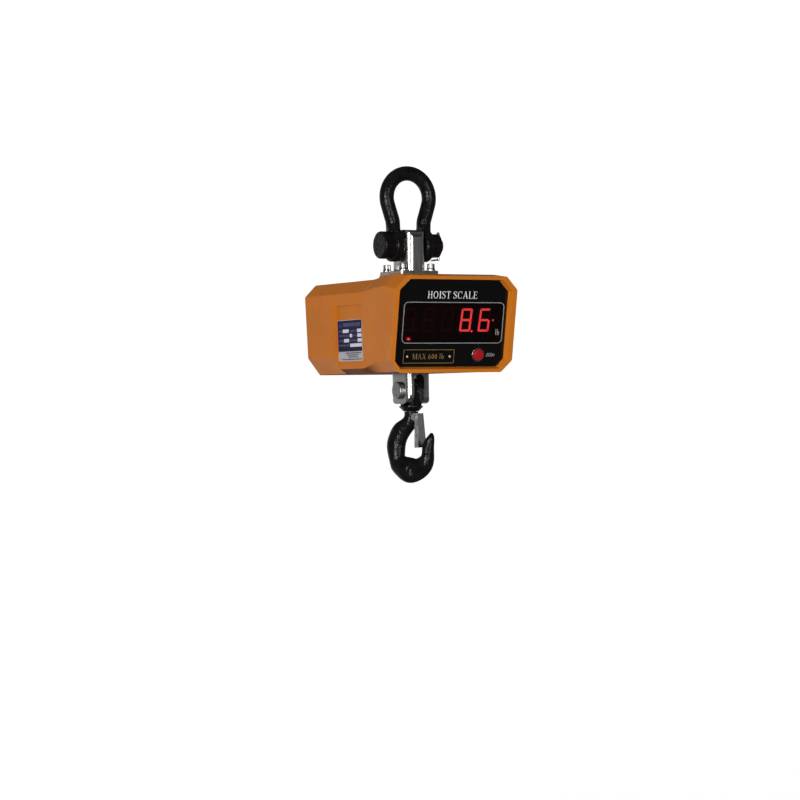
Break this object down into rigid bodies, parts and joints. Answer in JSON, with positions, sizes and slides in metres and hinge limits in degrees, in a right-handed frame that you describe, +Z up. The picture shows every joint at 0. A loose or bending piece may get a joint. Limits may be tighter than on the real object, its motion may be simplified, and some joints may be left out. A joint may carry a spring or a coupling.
{
  "type": "crane scale",
  "caption": "Hanging crane scale: bow shackle over a load-cell bar in a cast housing with a lit display, and a swivel hook with a sprung latch in the fork below.",
  "frame": {"origin": "inside crown of the shackle bow, where the scale hangs", "axes": "+Z up, display faces -Y, shackle bolt along X"},
  "size_m": [0.156, 0.2162, 0.3566],
  "materials": {
    "black_paint": "black enamel over forged steel",
    "zinc": "zinc plated",
    "spring_steel": "blackened spring steel",
    "stainless": "turned and brushed stainless steel",
    "rubber": "moulded rubber",
    "orange_coat": "orange powder coat on die-cast aluminium",
    "label": "printed vinyl",
    "panel": "gloss black overlay",
    "window": "dark red filter",
    "silver_trim": "satin metal",
    "led_block": "matte black",
    "red_led": "diffuse red lens",
    "board": "solder mask",
    "brass": "turned",
    "red_button": "moulded",
    "black_plastic": "moulded",
    "tray": "galvanised sheet"
  },
  "bodies": {
    "shackle": {"shackle_bow": "black_paint", "shackle_bolt": "black_paint", "shackle_nut": "black_paint", "shackle_cotter": "zinc"},
    "scale": {"load_cell": "stainless", "gauge_covers": "stainless", "top_flange": "stainless", "flange_washers": "stainless", "flange_spring_washers": "spring_steel", "flange_screws": "stainless", "top_seal": "rubber", "bottom_seal": "rubber", "housing": "orange_coat", "side_label": "label", "front_panel": "panel", "display_window": "window", "display_trim": "silver_trim", "led_digits": "led_block", "status_led": "red_led", "display_board": "board", "main_board": "board", "board_standoffs": "brass", "button_bezel": "silver_trim", "button_nut": "silver_trim", "button_switch": "black_plastic", "rear_cover": "orange_coat", "rear_gasket": "rubber", "rear_screws": "stainless", "power_switch": "black_plastic", "charge_socket": "black_plastic", "batteries": "black_plastic", "battery_trays": "tray", "clevis_pin": "stainless", "pin_clip": "spring_steel"},
    "button": {"zero_button": "red_button"},
    "rocker": {"power_rocker": "black_plastic"},
    "bail": {"swivel_bail": "black_paint"},
    "hook": {"hook": "black_paint", "swivel_nut": "zinc", "latch_pin": "zinc", "latch_spring": "spring_steel"},
    "latch": {"latch": "zinc"}
  },
  "joints": [
    {"name": "shackle_swing", "type": "hinge", "parent": "shackle", "child": "scale", "pos_m": [0, 0, -0.073], "axis": [1, 0, 0], "range_deg": [-90, 90]},
    {"name": "zero_press", "type": "slide", "parent": "scale", "child": "button", "axis": [0, 0.9848, 0.1736], "range_m": [0, 0.0015], "stiffness_N_per_m": 800, "springref_m": -0.001},
    {"name": "power_rock", "type": "hinge", "parent": "scale", "child": "rocker", "pos_m": [-0.026, 0.10365, -0.18691], "axis": [0, 0.0523, 0.9986], "range_deg": [0, 9]},
    {"name": "bail_swing", "type": "hinge", "parent": "scale", "child": "bail", "pos_m": [0, 0, -0.2358], "axis": [1, 0, 0], "range_deg": [-20, 20]},
    {"name": "hook_swivel", "type": "hinge", "parent": "bail", "child": "hook", "pos_m": [0, 0, -0.256], "axis": [0, 0, 1], "continuous": true},
    {"name": "latch_hinge", "type": "hinge", "parent": "hook", "child": "latch", "pos_m": [0.00381, -0.00611, -0.2658], "axis": [0.848, 0.5299, 0], "range_deg": [0, 30], "stiffness_Nm_per_rad": 0.03, "springref_deg": -28.65, "deforming": ["latch_spring"]}
  ]
}
